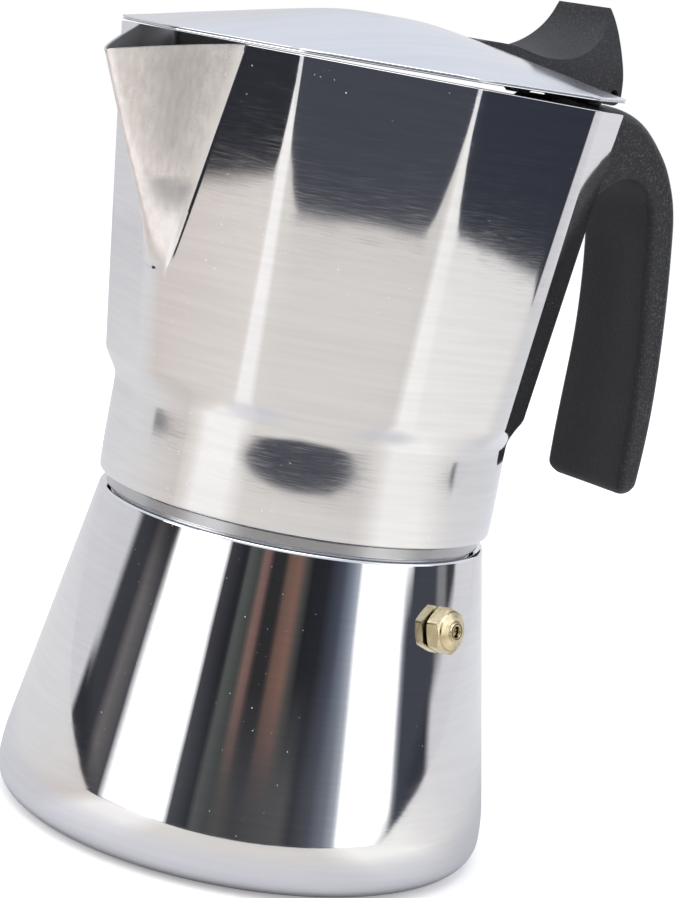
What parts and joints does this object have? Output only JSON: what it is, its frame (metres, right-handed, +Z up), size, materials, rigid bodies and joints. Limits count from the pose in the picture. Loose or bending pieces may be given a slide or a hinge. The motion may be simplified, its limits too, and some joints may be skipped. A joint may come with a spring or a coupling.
{
  "type": "moka pot",
  "caption": "Stovetop coffee maker: conical boiler with a safety valve, ten-sided jug with a folded spout, hinged lid with a thumb knob and an open strap handle.",
  "frame": {"origin": "centre of the boiler's flat underside, which rests on the hob", "axes": "+Z up along the pot's axis, +X towards the handle, -X towards the spout, safety valve on the -Y side"},
  "size_m": [0.1793, 0.1194, 0.208],
  "materials": {
    "polished_steel": "polished stainless steel with fine circumferential brushing",
    "lid_steel": "bright, lightly brushed stainless steel",
    "inner_steel": "satin stainless steel",
    "fastener_steel": "plain steel",
    "valve_brass": "turned brass, slightly dulled",
    "black_plastic": "fine matte grain, moulded",
    "white_silicone": "matte silicone"
  },
  "bodies": {
    "boiler": {"boiler": "polished_steel", "valve_body": "valve_brass", "valve_gasket": "white_silicone", "valve_cap": "valve_brass", "valve_spring": "fastener_steel"},
    "plunger": {"valve_plunger": "valve_brass"},
    "funnel": {"funnel_basket": "inner_steel", "funnel_sieve": "inner_steel", "funnel_stem": "inner_steel"},
    "seals": {"gasket": "white_silicone", "filter_plate": "inner_steel"},
    "collector": {"collector": "polished_steel", "thread_ring": "inner_steel", "collector_floor": "inner_steel", "coffee_column": "inner_steel", "column_cap": "inner_steel", "handle": "black_plastic", "handle_bracket": "fastener_steel", "handle_screw": "fastener_steel", "hinge_pin": "fastener_steel"},
    "lid": {"lid": "lid_steel", "lid_knob": "black_plastic", "knob_screw_1": "fastener_steel", "knob_screw_2": "fastener_steel"}
  },
  "joints": [
    {"name": "collector_rise", "type": "slide", "parent": "boiler", "child": "seals", "axis": [0, 0, 1], "range_m": [0, 0.06]},
    {"name": "collector_turn", "type": "hinge", "parent": "seals", "child": "collector", "pos_m": [0, 0, 0.08], "axis": [0, 0, 1], "range_deg": [0, 4320]},
    {"name": "funnel_lift", "type": "slide", "parent": "boiler", "child": "funnel", "axis": [0, 0, 1], "range_m": [0, 0.03]},
    {"name": "lid_hinge", "type": "hinge", "parent": "collector", "child": "lid", "pos_m": [0.0654, 0, 0.1873], "axis": [0, 1, 0], "range_deg": [0, 95]},
    {"name": "valve_lift", "type": "slide", "parent": "boiler", "child": "plunger", "axis": [0.1705, -0.967, 0.1894], "range_m": [0, 0.0012], "stiffness_N_per_m": 300, "springref_m": -0.004, "deforming": ["valve_spring"]}
  ],
  "couplings": [
    {"joint": "collector_rise", "follows": "collector_turn", "m_per_rad": 0.00079577},
    {"joint": "funnel_lift", "follows": "collector_turn", "m_per_rad": 0.00039789}
  ]
}
